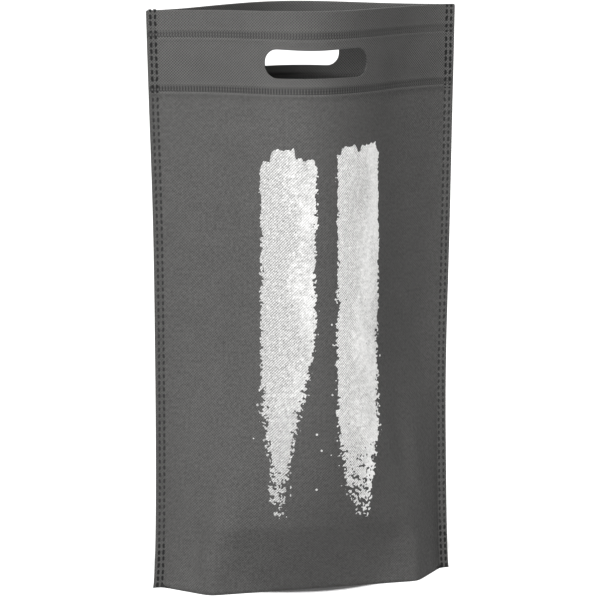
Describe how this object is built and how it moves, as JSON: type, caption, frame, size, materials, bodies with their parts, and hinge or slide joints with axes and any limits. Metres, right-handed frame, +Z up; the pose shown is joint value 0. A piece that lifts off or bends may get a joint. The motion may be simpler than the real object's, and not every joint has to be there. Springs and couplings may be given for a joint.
{
  "type": "wine gift bag",
  "caption": "Tall standing gift bag for wine bottles in non-woven fabric, with a welded hem, die-cut handle holes, flat side seams and a gusseted base.",
  "frame": {"origin": "on the surface the bag stands on, under the middle of its bounding box", "axes": "+Z up, towards the mouth; +X from the left side seam to the right one; the printed front faces -Y"},
  "size_m": [0.242, 0.1184, 0.45],
  "materials": {
    "nonwoven_fabric": "dark charcoal spunbond polypropylene, matt, with a fine point-bonded emboss",
    "fused_weld": "the same polypropylene melted into a smooth, slightly shiny film",
    "silver_ink": "silver screen-printing ink, pearly, dry-brushed at its edges"
  },
  "bodies": {
    "root": {"front_panel": "nonwoven_fabric", "back_panel": "nonwoven_fabric", "front_hem_facing": "nonwoven_fabric", "back_hem_facing": "nonwoven_fabric", "bottom_gusset": "nonwoven_fabric", "left_side_seam": "nonwoven_fabric", "right_side_seam": "nonwoven_fabric", "front_hem_weld_upper": "fused_weld", "front_hem_weld_lower": "fused_weld", "back_hem_weld_upper": "fused_weld", "back_hem_weld_lower": "fused_weld", "left_seam_weld_outer": "fused_weld", "left_seam_weld_inner": "fused_weld", "right_seam_weld_outer": "fused_weld", "right_seam_weld_inner": "fused_weld", "left_brush_print": "silver_ink", "right_brush_print": "silver_ink"}
  },
  "joints": []
}
